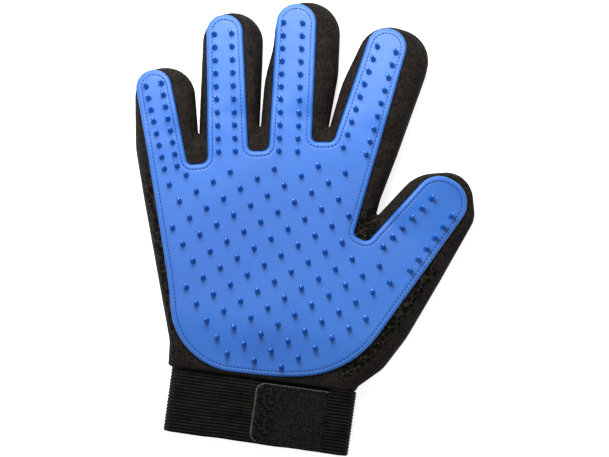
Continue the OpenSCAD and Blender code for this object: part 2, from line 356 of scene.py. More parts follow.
def hexagons(loop, spacing, margin):
    """A hexagonal grid of points that stay inside the loop by the margin."""
    low, high = loop.min(0), loop.max(0)
    xs = np.arange(low[0], high[0], spacing)
    ys = np.arange(low[1], high[1], spacing * math.sqrt(3) / 2)
    grid = np.array([(x + (j % 2) * spacing / 2, y) for j, y in enumerate(ys) for x in xs])
    return grid[distance(grid, loop) > margin]


def thin_out(points, gap):
    """Drops points nearer than gap to an earlier one."""
    cells, keep = {}, []
    for i, p in enumerate(points):
        c = (int(p[0] // gap), int(p[1] // gap))
        near = [j for dx in (-1, 0, 1) for dy in (-1, 0, 1) for j in cells.get((c[0] + dx, c[1] + dy), ())]
        if all((points[j][0] - p[0]) ** 2 + (points[j][1] - p[1]) ** 2 > gap * gap for j in near):
            cells.setdefault(c, []).append(i)
            keep.append(i)
    return points[keep]


def triangulate(loops, lines, points):
    """Triangles over all the points, with the loops and lines kept as edges."""
    verts, edges = [], []
    for loop in loops:
        n = len(verts)
        verts += [Vector(p) for p in loop]
        edges += [(n + i, n + (i + 1) % len(loop)) for i in range(len(loop))]
    for line in lines:
        n = len(verts)
        verts += [Vector(p) for p in line]
        edges += [(n + i, n + i + 1) for i in range(len(line) - 1)]
    verts += [Vector(p) for p in points]
    out = delaunay_2d_cdt(verts, edges, [], 0, 1e-4)
    flat = np.array([(p.x, p.y) for p in out[0]])
    tris = np.array([t for t in out[2] if len(t) == 3], int)
    a, b, c = (flat[tris[:, k]] for k in range(3))
    area = (b[:, 0] - a[:, 0]) * (c[:, 1] - a[:, 1]) - (b[:, 1] - a[:, 1]) * (c[:, 0] - a[:, 0])
    tris[area < 0] = tris[area < 0][:, ::-1]
    return flat, tris[np.abs(area) > 1e-7]


def add_mesh(name, verts, faces, materials, index=None, normals=None):
    """A new smooth object from millimetre vertices. normals keeps the shading even where pieces meet."""
    mesh = bpy.data.meshes.new(name)
    metres = [tuple(v) for v in np.asarray(verts, float) * MM]
    mesh.from_pydata(metres, [], [tuple(int(i) for i in f) for f in faces])
    for m in materials:
        mesh.materials.append(m)
    if index is not None:
        mesh.polygons.foreach_set("material_index", np.asarray(index, np.int32))
    mesh.polygons.foreach_set("use_smooth", np.ones(len(mesh.polygons), bool))
    mesh.update()
    if normals is not None:
        mesh.normals_split_custom_set_from_vertices([tuple(n) for n in normals])
    obj = bpy.data.objects.new(name, mesh)
    bpy.context.scene.collection.objects.link(obj)
    return obj


class Builder:
    """Collects vertices and faces of one piece."""

    def __init__(self):
        self.verts, self.faces, self.index, self.normals, self.count = [], [], [], [], 0

    def add(self, verts, faces, material=0, normals=None):
        self.verts.append(np.asarray(verts, float))
        self.normals.append(np.zeros((len(verts), 3)) if normals is None else normals)
        self.faces += [tuple(int(i) + self.count for i in f) for f in faces]
        self.index += list(material) if np.ndim(material) else [material] * len(faces)
        self.count += len(verts)

    def grid(self, points, material=0, closed=False):
        """Faces over an (n, m, 3) array of points, whose rows may be closed rings."""
        n, m = points.shape[:2]
        faces = []
        for i in range(n - 1):
            for j in range(m if closed else m - 1):
                a, b = i * m + j, i * m + (j + 1) % m
                faces.append((a, b, b + m, a + m))
        self.add(points.reshape(-1, 3), faces, material)

    def build(self, name, materials):
        normals = np.concatenate(self.normals)
        return add_mesh(name, np.concatenate(self.verts), self.faces, materials, self.index,
                        normals if normals.any() else None)


def vertex_normals(verts, tris):
    a, b, c = (verts[tris[:, k]] for k in range(3))
    across = np.cross(b - a, c - a)
    out = np.zeros_like(verts)
    for k in range(3):
        np.add.at(out, tris[:, k], across)
    return out / np.maximum(np.linalg.norm(out, axis=1), 1e-12)[:, None]


SECTIONS = ["hand"] + [f.name + part for f in fingers for part in ("_knuckle", "_end")]


def attach(obj, section, nodes):
    """Makes the hand's piece of the glove's skin ride the hand, bakes the transform of a finger's piece, and
    hides the CAD nodes it stands for.
    """
    if section == 0:
        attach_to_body(obj, "hand")
    else:
        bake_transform(obj)
    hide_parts(*nodes)


def nodes_for(section, *kinds):
    """Names of the CAD nodes of the given kinds in a section."""
    if section == 0:
        own = {
            "pad": ["palm_pad"],
            "facing": ["palm_facing"],
            "gusset": ["side_gusset_little", "side_gusset_thumb", "web_little_ring", "web_ring_middle",
                       "web_middle_index", "web_index_thumb"],
            "back": ["back_panel"],
        }
        return [n for k in kinds for n in own[k]]
    f = fingers[(section - 1) // 2].name
    return [f"{f}_{'base' if section % 2 else 'tip'}_{k}" for k in kinds]


# ---------------------------------------------------------------- materials

class Tree:
    """A procedural material being wired up."""

    def __init__(self, name, roughness=0.6, specular=0.5):
        self.material = bpy.data.materials.new(name)
        self.material.use_nodes = True
        self.nodes, self.links = self.material.node_tree.nodes, self.material.node_tree.links
        self.shader = self.nodes["Principled BSDF"]
        self.shader.inputs["Roughness"].default_value = roughness
        self.shader.inputs["Specular IOR Level"].default_value = specular
        self.place = self.nodes.new("ShaderNodeTexCoord").outputs["Object"]

    def node(self, kind, inputs=(), **settings):
        n = self.nodes.new("ShaderNode" + kind)
        for key, value in settings.items():
            setattr(n, key, value)
        for key, value in dict(inputs).items():
            if hasattr(value, "is_output"):
                self.links.new(value, n.inputs[key])
            else:
                n.inputs[key].default_value = value
        return n

    def noise(self, scale, detail=3.0, roughness=0.6):
        inputs = {"Vector": self.place, "Scale": scale, "Detail": detail, "Roughness": roughness}
        return self.node("TexNoise", inputs).outputs["Fac"]

    def voronoi(self, scale, feature="F1", randomness=1.0):
        inputs = {"Vector": self.place, "Scale": scale, "Randomness": randomness}
        return self.node("TexVoronoi", inputs, feature=feature).outputs["Distance"]

    def wave(self, scale, direction, distortion, vector=None):
        inputs = {"Vector": vector or self.place, "Scale": scale, "Distortion": distortion}
        inputs.update({"Detail": 2.0, "Detail Scale": 2.0})
        return self.node("TexWave", inputs, bands_direction=direction).outputs["Fac"]

    def turned(self, degrees):
        """The place, turned about Z."""
        inputs = {"Vector": self.place, "Rotation": (0, 0, math.radians(degrees))}
        return self.node("Mapping", inputs).outputs["Vector"]

    def ramp(self, value, *stops):
        n = self.node("ValToRGB", {"Fac": value})
        while len(n.color_ramp.elements) < len(stops):
            n.color_ramp.elements.new(0.5)
        for element, (at, colour) in zip(n.color_ramp.elements, stops):
            element.position, element.color = at, (*colour, 1)
        return n.outputs["Color"]

    def maths(self, operation, a, b):
        return self.node("Math", {0: a, 1: b}, operation=operation).outputs[0]

    def mix(self, factor, a, b):
        n = self.node("Mix", data_type="RGBA")
        for socket, value in ((n.inputs[0], factor), (n.inputs[6], a), (n.inputs[7], b)):
            if hasattr(value, "is_output"):
                self.links.new(value, socket)
            else:
                socket.default_value = value if np.ndim(value) == 0 else (*value, 1)
        return n.outputs[2]

    def finish(self, colour, bumps=(), roughness=None):
        """bumps are (height, distance in metres, strength)."""
        self.links.new(colour, self.shader.inputs["Base Color"])
        if roughness is not None:
            low, high, value = roughness
            n = self.node("MapRange", {"Value": value, "To Min": low, "To Max": high})
            self.links.new(n.outputs[0], self.shader.inputs["Roughness"])
        normal = None
        for height, depth, strength in bumps:
            inputs = {"Height": height, "Distance": depth, "Strength": strength}
            if normal:
                inputs["Normal"] = normal
            normal = self.node("Bump", inputs).outputs[0]
        if normal:
            self.links.new(normal, self.shader.inputs["Normal"])
        return self.material


def srgb(text):
    """A colour written as six hexadecimal digits, in linear light."""
    out = []
    for i in (0, 2, 4):
        c = int(text[i:i + 2], 16) / 255
        out.append(c / 12.92 if c < 0.04045 else ((c + 0.055) / 1.055) ** 2.4)
    return tuple(out)


def rubber(name, light, dark, roughness, gloss):
    """Moulded rubber with cloudy colour and a fine grain."""
    t = Tree(name, specular=gloss)
    broad = t.noise(14, 2)
    cloud = t.noise(120, 4)
    colour = t.ramp(broad, (0.35, srgb(dark)), (0.65, srgb(light)))
    colour = t.mix(t.maths("MULTIPLY", cloud, 0.25), colour, srgb(dark))
    grain = t.noise(2600, 2)
    return t.finish(colour, [(cloud, 0.0006, 0.25), (grain, 0.00006, 0.35)],
                    (roughness - 0.06, roughness + 0.1, t.noise(300, 3)))


def knit(name, dark, light, scale=1.0):
    """Brushed knit: loops in rows, with small dark spots."""
    t = Tree(name, 0.85, 0.08)
    loops = t.maths("MULTIPLY", t.wave(420 * scale, "X", 1.5), t.wave(360 * scale, "Y", 1.5))
    spots = t.voronoi(520 * scale)
    cloud = t.noise(230, 4, 0.7)
    colour = t.ramp(spots, (0.1, srgb(dark)), (0.5, srgb(light)))
    colour = t.mix(t.ramp(cloud, (0.36, (0.55, 0.55, 0.55)), (0.64, (0, 0, 0))), colour, srgb(dark))
    bumps = [(loops, 0.00025, 0.6), (spots, 0.0003, 0.5), (t.noise(1500, 3), 0.00015, 0.5)]
    return t.finish(colour, bumps, (0.75, 0.95, cloud))


def air_mesh(name):
    """Open mesh: dark round holes between thin olive threads."""
    t = Tree(name, 0.8, 0.1)
    edge = t.voronoi(300, "DISTANCE_TO_EDGE", 0.8)
    thread = t.voronoi(1500, "DISTANCE_TO_EDGE", 1.0)
    holes = t.ramp(edge, (0.05, (1, 1, 1)), (0.17, (0, 0, 0)))
    strands = t.ramp(thread, (0.0, srgb("4a4234")), (0.22, srgb("0c0b09")))
    patches = t.ramp(t.noise(330, 3), (0.4, (0.85, 0.85, 0.85)), (0.62, (0, 0, 0)))
    strands = t.mix(patches, strands, srgb("0b0908"))
    colour = t.mix(holes, srgb("040404"), strands)
    return t.finish(colour, [(holes, 0.0007, 0.9), (t.maths("SUBTRACT", 1.0, thread), 0.0003, 0.5)],
                    (0.7, 0.95, t.noise(500)))


def ribbed(name, dark, light):
    """Woven elastic, whose ribs are in the mesh."""
    t = Tree(name, 0.75, 0.1)
    turned = t.turned(WRIST_TURN)
    cloud = t.noise(180, 4, 0.7)
    weave = t.wave(500, "X", 2.0, turned)
    colour = t.ramp(cloud, (0.35, srgb(dark)), (0.65, srgb(light)))
    colour = t.mix(t.maths("MULTIPLY", weave, 0.3), colour, srgb(dark))
    return t.finish(colour, [(weave, 0.0002, 0.5), (t.noise(1400, 3), 0.0002, 0.45)], (0.65, 0.9, cloud))


def twill(name):
    """Woven cover with a pattern of light dots on two diagonals."""
    t = Tree(name, 0.7, 0.1)
    one, other = (t.wave(270, "X", 1.0, t.turned(turn)) for turn in (40, -40))
    dots = t.maths("MULTIPLY", one, other)
    cloud = t.noise(700, 4, 0.8)
    colour = t.ramp(dots, (0.3, srgb("070707")), (0.8, srgb("484643")))
    colour = t.mix(t.ramp(cloud, (0.42, (0.9, 0.9, 0.9)), (0.6, (0, 0, 0))), colour, srgb("030303"))
    return t.finish(colour, [(dots, 0.0003, 0.7), (t.noise(1600, 2), 0.00015, 0.5)], (0.6, 0.9, cloud))


def pile(name, dark, light):
    """Short fuzzy hooks or loops."""
    t = Tree(name, 0.9, 0.1)
    fuzz = t.noise(560, 5, 0.85)
    dots = t.voronoi(800)
    colour = t.ramp(fuzz, (0.47, srgb(dark)), (0.66, srgb(light)))
    return t.finish(colour, [(fuzz, 0.0006, 0.9), (dots, 0.0004, 0.7)], (0.8, 1.0, fuzz))


def thread(name, colour, lighter):
    """Twisted sewing thread."""
    t = Tree(name, 0.8, 0.06)
    twist = t.wave(1500, "DIAGONAL", 1.0)
    colours = t.ramp(twist, (0.2, srgb(colour)), (0.8, srgb(lighter)))
    return t.finish(colours, [(twist, 0.0001, 0.6)], (0.5, 0.75, t.noise(800)))


PAD_BLUE = rubber("rubber_sheet", "1c6cca", "0f60bd", 0.58, 1.0)
# The nubs' blue is deeper and darker than the sheet's: painted shade on the nubs' sides
NUB_SHADED_BLUE = rubber("rubber_nub", "0a66c4", "0756b0", 0.24, 0.9)
# Dark navy on the faces of the pad's outer edge: painted shade on the rim's side wall
EDGE_SHADE_BLUE = rubber("rubber_edge", "0c3274", "082558", 0.5, 0.3)
NAVY = thread("stitch_navy", "051030", "0e2658")
FABRIC = knit("shell_knit", "0c0a09", "2a2522")
BINDING = knit("hem_binding_knit", "070606", "1e1b19", 1.3)
MESH = air_mesh("air_mesh_fabric")
ELASTIC = ribbed("ribbed_elastic", "090808", "272422")
# Near black for the faces in the grooves between the elastic's ribs: painted shade
GROOVE_SHADE = ribbed("elastic_groove", "020202", "0a0908")
TWILL = twill("hook_tab_twill")
HOOKS = pile("hook_pile", "010101", "34322f")
LOOPS = pile("loop_pile_fabric", "0c0b0b", "2c2825")
TAPE = knit("tab_edge_tape", "1c1a18", "5a5651", 1.6)
BLACK = thread("stitch_black", "0d0c0c", "201e1c")


# ---------------------------------------------------------------- shell

# Rings of points inside the shell's outline
SHELL_INSETS = (0.12, 0.4, 0.85, 1.5, 2.3, 3.2, 3.6, 4.0, 4.4, 4.9, 5.8)
# Pitch and margin of the grid that fills the rest, and how close the points may come to one another
SHELL_GRID, SHELL_MARGIN, SHELL_STEP = 2.2, 6.4, 0.3
# Where the shell ends at the wrist, how far it runs under the pad, and where the open mesh is
HEM_Y, UNDER_PAD, MESH_STRIP = -1.4, 4.0, 6.2


def meshed_faces(centre, middle_shell, middle_pad, section):
    """Which faces are open mesh: the thumb's web, and the strips beside the pad."""
    x, y = centre[:, 0], centre[:, 1]
    strip = (middle_pad > -MESH_STRIP) & (x > 20) & (y < -12) & (section == 0)
    web = (x > 22) & (x < 41) & (y > -12) & (y < 9 + 0.3 * (x - 30)) & (section == 0)
    left = (x < -72) & (y < 30) & (y > -70)
    return (strip | web | left) & (middle_pad < 0) & (middle_shell > 1.0)


def build_shell():
    """The fabric shell with its open mesh, and the mesh back, cut at the fingers' bends."""
    rings = ring_points(SHELL, SHELL_INSETS)
    loose = thin_out(np.concatenate(rings + [hexagons(SHELL, SHELL_GRID, SHELL_MARGIN)]), SHELL_STEP)
    hem = line_points(from_wrist(-70, HEM_Y, 0)[:2], from_wrist(70, HEM_Y, 0)[:2], SHELL, SHELL_STEP)
    flat, tris = triangulate([SHELL], cut_lines(SHELL, SHELL_STEP) + [hem], loose)
    centre = flat[tris].mean(1)
    inside = (distance(centre, SHELL) > 0) & (wrist_y(centre) > HEM_Y)
    tris, centre = tris[inside], centre[inside]
    d_shell, d_pad = depths(flat, SHELL), distance(flat, PAD)
    top = np.column_stack([flat, shell_top(flat, d_shell, d_pad)])
    bottom = np.column_stack([flat, shell_bottom(flat, d_shell)])
    up, down = vertex_normals(top, tris), vertex_normals(bottom, tris[:, ::-1])
    at_edge = d_shell < 0.01
    level = up + down
    level /= np.maximum(np.linalg.norm(level, axis=1), 1e-9)[:, None]
    up[at_edge], down[at_edge] = level[at_edge], level[at_edge]
    middle_shell, middle_pad = distance(centre, SHELL), distance(centre, PAD)
    section = section_of(centre)
    meshed = meshed_faces(centre, middle_shell, middle_pad, section)
    for k, name in enumerate(SECTIONS):
        mine = section == k
        under = middle_pad[mine] > UNDER_PAD
        b = Builder()
        faces = tris[mine][~under]
        used, local = np.unique(faces, return_inverse=True)
        b.add(top[used], local.reshape(-1, 3), np.where(meshed[mine][~under], 1, 0), up[used])
        rim = middle_shell[mine] < SEAM
        faces = tris[mine][rim][:, ::-1]
        used, local = np.unique(faces, return_inverse=True)
        b.add(bottom[used], local.reshape(-1, 3), 0, down[used])
        shell = b.build(name + "_shell", [FABRIC, MESH])
        attach(shell, k, nodes_for(k, "facing", "gusset"))
        faces = tris[mine][~rim][:, ::-1]
        used, local = np.unique(faces, return_inverse=True)
        back = add_mesh(name + "_back", bottom[used], local.reshape(-1, 3), [MESH], None, down[used])
        attach(back, k, nodes_for(k, "back"))


# ---------------------------------------------------------------- rubber pad

# A nub: radius, and height above the sheet
NUB_PROFILE = [
    (1.85, -0.4), (1.6, 0.0), (1.42, 0.3), (1.3, 0.8), (1.2, 1.6), (1.1, 2.5), (1.03, 3.3), (1.0, 3.75),
    (0.93, 4.1), (0.74, 4.36), (0.45, 4.5), (0.14, 4.54),
]
# The soft nubs' lean: sideways, sideways on the thumb, and towards the fingertips
NUB_LEAN = (-0.1, 0.12, 0.27)
NUB_SIDES, NUB_PITCH = 14, 10.7
# Nubs right of this x and below this y are the thumb's
THUMB_X, THUMB_Y = 42, 25
# The part of the palm whose lattice of nubs is kept
PALM_FIELD = np.array([
    (-76, 27), (-75, -2), (-69, -14), (-68, -35), (-47, -70), (-12, -79), (-8, -79), (38, -52), (39.5, -42),
    (49, -34), (51, -26), (43, -16), (30, -13), (25, -4), (27, 10), (22.5, 20), (26, 30), (25, 36), (5, 36.5),
    (-20, 34.5), (-45, 33.5), (-66, 32),
], float)


def surface_normal(points):
    """Upward normals of the pad's surface, from its heights nearby."""
    e = 1.5
    dx = pad_bottom(points + [e, 0]) - pad_bottom(points - [e, 0])
    dy = pad_bottom(points + [0, e]) - pad_bottom(points - [0, e])
    n = np.column_stack([-dx, -dy, np.full(len(points), 2 * e)])
    return n / np.linalg.norm(n, axis=1)[:, None]


def nub_places():
    """Where the nubs stand: two rows up each finger, and a slanted lattice on the palm."""
    places = []
    for f in fingers:
        for row in range(f.pairs):
            half = f.halves[0] + (f.halves[1] - f.halves[0]) * row / (f.pairs - 1)
            for side in (-1, 1):
                places.append(f.top - row * f.pitch * f.along + side * half * f.side)
    anchor, reach = np.array([-9.5, 0]), 9
    down = NUB_PITCH * np.array([math.sin(math.radians(31.5)), -math.cos(math.radians(31.5))])
    across = NUB_PITCH * np.array([math.cos(math.radians(30)), math.sin(math.radians(30))])
    steps = range(-reach, reach + 1)
    lattice = np.array([anchor + i * down + j * across for i in steps for j in steps])
    return np.concatenate([np.array(places), lattice[distance(lattice, PALM_FIELD) > 0]])


def nub_mesh(place, normal, base):
    """One moulded nub with a filleted root and a rounded tip."""
    turn = np.arange(NUB_SIDES) * 2 * math.pi / NUB_SIDES
    on_thumb = place[0] > THUMB_X and place[1] < THUMB_Y
    z = normal + [NUB_LEAN[1] if on_thumb else NUB_LEAN[0], NUB_LEAN[2], 0]
    z /= np.linalg.norm(z)
    x = np.cross([0, 1, 0], z)
    x /= np.linalg.norm(x)
    y = np.cross(z, x)
    ring = np.cos(turn)[:, None] * x + np.sin(turn)[:, None] * y
    return np.array([np.array([*place, base]) + h * z + r * ring for r, h in NUB_PROFILE])


def stitch_path(loop, depth, spacing):
    """Evenly spaced points and directions along a loop moved inwards by depth."""
    path = loop + depth * inward(loop)
    path = path[distance(path, loop) > 0.985 * depth]
    step = np.linalg.norm(np.diff(np.vstack([path, path[:1]]), axis=0), axis=1)
    at = np.concatenate([[0], np.cumsum(step)])
    count = int(at[-1] / spacing)
    ring = np.vstack([path, path[:1]])
    where = np.arange(count) * at[-1] / count
    points = np.column_stack([np.interp(where, at, ring[:, k]) for k in (0, 1)])
    ahead = np.roll(points, -1, 0) - np.roll(points, 1, 0)
    return points, ahead / np.linalg.norm(ahead, axis=1)[:, None]


# A stitch from end to end: place along its length, radius, and rise as a share of its diameter
STITCH_PROFILE = [
    (-0.5, 0.35, -0.25), (-0.36, 0.9, 0.0), (0, 1.0, 0.06), (0.36, 0.9, 0.0), (0.5, 0.35, -0.25),
]


def capsule(centre, direction, length, radius):
    """A stitch: a short thread with rounded ends."""
    d = np.asarray(direction, float)
    d /= np.linalg.norm(d)
    side = np.cross([0, 0, 1.0], d)
    side /= np.linalg.norm(side)
    up = np.cross(d, side)
    turn = np.arange(6) * math.pi / 3
    rings = []
    for at, r, rise in STITCH_PROFILE:
        c = np.asarray(centre) + at * length * d + rise * radius * 2 * up
        rings.append(c + radius * r * (np.cos(turn)[:, None] * side + np.sin(turn)[:, None] * up))
    return np.array(rings)


# Pitch and margin of the grid of points over the pad, and how close they come at its edge and its cuts
PAD_GRID, PAD_MARGIN, PAD_STEP, PAD_CUT_STEP = 2.0, 6.2, 0.09, 0.15
# Distance between stitches, and the length and radius of one
STITCH_PITCH, STITCH_LENGTH, STITCH_RADIUS = 2.05, 1.4, 0.19


def build_pad():
    """The rubber pad with its nubs, and the stitching in its groove, cut at the fingers' bends."""
    insets = [p[0] for p in PAD_PROFILE[1:]] + [5.3]
    rings = ring_points(PAD, insets)
    loose = thin_out(np.concatenate(rings + [hexagons(PAD, PAD_GRID, PAD_MARGIN)]), PAD_STEP)
    flat, tris = triangulate([PAD], cut_lines(PAD, PAD_CUT_STEP), loose)
    centre = flat[tris].mean(1)
    inside = distance(centre, PAD) > 0
    tris, centre = tris[inside], centre[inside]
    d_pad = depths(flat, PAD)
    top = np.column_stack([flat, pad_top(flat, d_pad)])
    # Faces on the pad's outer edge, which take the dark navy of painted shade
    section, shaded_rim = section_of(centre), d_pad[tris].min(1) == 0
    up = vertex_normals(top, tris)
    places = nub_places()
    normals, bases = surface_normal(places), pad_bottom(places) + PAD_PROFILE[-1][1]
    nub_section = section_of(places)
    stitches, ways = stitch_path(PAD, STITCH_AT, STITCH_PITCH)
    stitch_z = pad_top(stitches, np.full(len(stitches), STITCH_AT)) + 0.12
    stitch_section = section_of(stitches)
    for k, name in enumerate(SECTIONS):
        mine = section == k
        b = Builder()
        used, local = np.unique(tris[mine], return_inverse=True)
        b.add(top[used], local.reshape(-1, 3), np.where(shaded_rim[mine], 2, 0), up[used])
        for i in np.nonzero(nub_section == k)[0]:
            rings = nub_mesh(places[i], normals[i], bases[i])
            b.grid(rings, 1, closed=True)
            b.add(rings[-1], [tuple(range(NUB_SIDES))], 1)
        pad = b.build(name + "_pad", [PAD_BLUE, NUB_SHADED_BLUE, EDGE_SHADE_BLUE])
        attach(pad, k, nodes_for(k, "pad"))
        b = Builder()
        for i in np.nonzero(stitch_section == k)[0]:
            stitch = capsule((*stitches[i], stitch_z[i]), (*ways[i], 0), STITCH_LENGTH, STITCH_RADIUS)
            b.grid(stitch, 0, closed=True)
        seam = b.build(name + "_stitching", [NAVY])
        attach(seam, k, [])


# ---------------------------------------------------------------- cuff

# Width, height, lower and upper end and wall of the flattened band, and the pitch of its ribs
BAND_W, BAND_H, BAND_LOW, BAND_HIGH, WALL = 100.0, 16.0, -37.5, -1.9, 1.8
RIB = 1.78
# Width and height of the hem binding, the place and offset of its bead, and half the bead's sizes
HEM_W, HEM_H, HEM_BEAD = 103.0, 17.5, (-0.9, -0.5, 1.5, 0.95)
# The lining inside the wrist, which narrows towards the inside of the hand: place, and outward offset
LINING = [
    (-3, -WALL - 0.2), (0, -WALL - 0.5), (6, -WALL - 0.8), (14, -3.2), (24, -4.2), (36, -5.6), (50, -6.9),
    (51, -7.4),
]


def oval(width, height, count):
    """Points round a flattened tube, their outward normals and their places along it, in X and Z."""
    r = height / 2.1
    side, top = width / 2 - r, height - r
    corners = [(-side, r, 180), (side, r, 270), (side, top, 0), (-side, top, 90)]
    points = []
    for cx, cz, start in corners:
        for i in range(13):
            a = math.radians(start + 90 * i / 12)
            points.append((cx + r * math.cos(a), cz + r * math.sin(a)))
    ring = np.array(points + points[:1])
    at = np.concatenate([[0], np.cumsum(np.linalg.norm(np.diff(ring, axis=0), axis=1))])
    where = np.arange(count) * at[-1] / count
    out = np.column_stack([np.interp(where, at, ring[:, k]) for k in (0, 1)])
    ahead = np.roll(out, -1, 0) - np.roll(out, 1, 0)
    ahead /= np.linalg.norm(ahead, axis=1)[:, None]
    return out, np.column_stack([ahead[:, 1], -ahead[:, 0]]), where


def tube(name, materials, rows, width, height, count=220, wave=0.0, deep=-99):
    """A flattened tube in the wrist frame from rows of (y, outward offset). Rows below deep are grooves,
    which get the second material: painted shade.
    """
    ring, normal, where = oval(width, height, count)
    turn = where / where[-1] * 2 * math.pi
    b = Builder()
    layers = []
    for y, offset in rows:
        wobble = wave * (np.sin(5 * turn + 1) + 0.6 * np.sin(11 * turn)) * smooth(-y, 2, 34)
        pucker = 0.10 * np.sin(turn * 70 + 3 * math.sin(y)) * (offset > -0.9) * (wave > 0)
        p = ring + (offset + pucker)[:, None] * normal
        p[:, 1] = np.maximum(p[:, 1], 0.02)
        layers.append(from_wrist(p[:, 0], y + wobble, p[:, 1]))
    offsets = np.array([row[1] for row in rows])
    # Faces set in past deep take the second material, painted shade in the grooves
    low = (offsets[1:] + offsets[:-1]) / 2 < deep
    b.grid(np.array(layers), np.repeat(np.where(low, 1, 0), count), closed=True)
    return b.build(name, materials)


def rib(y):
    """How far the ribbed elastic stands out at a place along the arm."""
    return 0.5 * np.sin(math.pi * y / RIB) ** 2 - 0.3


def build_cuff():
    """The ribbed band, the binding that joins it to the hand, and the lining."""
    outer = [(y, float(rib(y))) for y in np.arange(BAND_HIGH, BAND_LOW, -RIB / 6)]
    lip = [(BAND_LOW - 0.25, -0.2), (BAND_LOW - 0.45, -0.6), (BAND_LOW - 0.4, -1.2), (BAND_LOW - 0.1, -WALL)]
    inner = [(y, float(-WALL - 0.5 * rib(y))) for y in np.arange(BAND_LOW + 0.5, BAND_HIGH + 2, RIB / 3)]
    band = tube("cuff_elastic", [ELASTIC, GROOVE_SHADE], outer + lip + inner, BAND_W, BAND_H, wave=0.12, deep=-0.02)
    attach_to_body(band, "hand")
    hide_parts("wrist_elastic")
    place, offset, half_width, half_depth = HEM_BEAD
    turn = np.linspace(0, 2 * math.pi, 13)
    rows = [(place - half_width * math.cos(a), offset + half_depth * math.sin(a)) for a in turn]
    hem = tube("hem_binding", [BINDING], rows, HEM_W, HEM_H)
    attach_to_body(hem, "hand")
    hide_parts("wrist_hem")
    lining = tube("hand_lining", [BINDING], LINING, BAND_W, BAND_H, 120)
    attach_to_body(lining, "hand")


# The hook tab's ends and middle line in the wrist frame, its width, and the strap's height
TAB_RIGHT, TAB_LEFT, STRAP_Z = 37.4, -2.6, 17.2
TAB_MID_Y, TAB_W = BAND_HIGH - (BAND_HIGH - BAND_LOW) / 2 - 0.8, 33.0
# The strap's middle line round the side of the band: x, and height
STRAP_PATH = [
    (51.0, 6.5), (51.35, 8.5), (51.6, 11), (51.65, 13.5), (51.3, 15.4), (50.4, 16.9), (49.0, 17.9),
    (47.2, 18.35), (45.0, 18.4), (42.0, 18.3), (39.5, 18.2), (37.7, 18.15),
]


def build_strap():
    """The elastic leaf folded over the thumb side of the cuff."""
    path = np.array(STRAP_PATH)
    for _ in range(2):
        middle = (path[1:] + path[:-1]) / 2
        path = np.insert(path, range(1, len(path)), middle, 0)
        path[1:-1] = (path[:-2] + 2 * path[1:-1] + path[2:]) / 4
    ahead = np.gradient(path, axis=0)
    ahead /= np.linalg.norm(ahead, axis=1)[:, None]
    normal = np.column_stack([ahead[:, 1], -ahead[:, 0]])
    ys = np.arange(BAND_HIGH - 0.3, BAND_LOW - 0.5, -RIB / 6)
    skin = np.array([rib(y) for y in ys]) + 0.95
    edge = np.minimum(1, np.minimum(ys[0] - ys, ys - ys[-1]) / 0.8)
    thick = skin * np.sqrt(np.clip(1 - (1 - edge) ** 2, 0.02, 1))
    b = Builder()
    sides = []
    for sign in (1, -1):
        p = path[:, None, :] + sign * normal[:, None, :] * thick[None, :, None] * (1 if sign > 0 else 0.8)
        sides.append(from_wrist(p[..., 0], np.broadcast_to(ys, p.shape[:2]), p[..., 1]))
    around = np.concatenate([sides[1], sides[0][:, ::-1]], 1)
    # Faces in the grooves between the ribs take the second material, painted shade
    kind = np.where(skin < 0.93, 1, 0)
    b.grid(around, np.tile(np.concatenate([kind, kind[::-1]]), len(path) - 1), closed=True)
    for end in (around[0], around[-1][::-1]):
        n = len(end)
        b.add(end, [(i, i + 1, n - 2 - i, n - 1 - i) for i in range(n // 2 - 1)], 0)
    strap = b.build("strap_leaf", [ELASTIC, GROOVE_SHADE])
    start, end = from_wrist(51.6, TAB_MID_Y, 12.5) * MM, from_wrist(45.5, TAB_MID_Y, 18.6) * MM
    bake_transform(strap)
    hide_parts("strap_elastic")


def build_strap_end():
    """The sewn end of the elastic, inside the tab."""
    half, turn = TAB_W / 2 - 0.8, np.linspace(0, math.pi, 7)
    y = np.concatenate([half + 0.5 * np.sin(turn), -half - 0.5 * np.sin(turn)])
    z = np.concatenate([0.6 * np.cos(turn), -0.6 * np.cos(turn)])
    xs = np.linspace(TAB_RIGHT + 2.2, TAB_RIGHT - 2.2, 23)
    b = Builder()
    b.grid(from_wrist(xs[:, None], TAB_MID_Y + y, STRAP_Z + 0.95 + z), 0, closed=True)
    strap_end = b.build("strap_end", [ELASTIC])
    start, end = (from_wrist(TAB_RIGHT + side, TAB_MID_Y, STRAP_Z + 0.95) * MM for side in (0.8, -0.8))
    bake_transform(strap_end)


# Edge of the tab: distance inwards, height of its face and depth of its underside from its middle
TAB_INSETS = (0, 0.1, 0.3, 0.6, 1.0, 1.5, 2.0, 2.5, 3.0)
TAB_FACE = (0, 0.5, 0.85, 1.05, 1.1, 1.02, 0.85, 0.95, 1.05)
TAB_UNDER = (0, 0.4, 0.7, 0.85, 0.9, 0.9, 0.9, 0.9, 0.9)
# Distances of the strip of hooks from the tab's end
PILE_FROM, PILE_TO = 1.7, 11.4


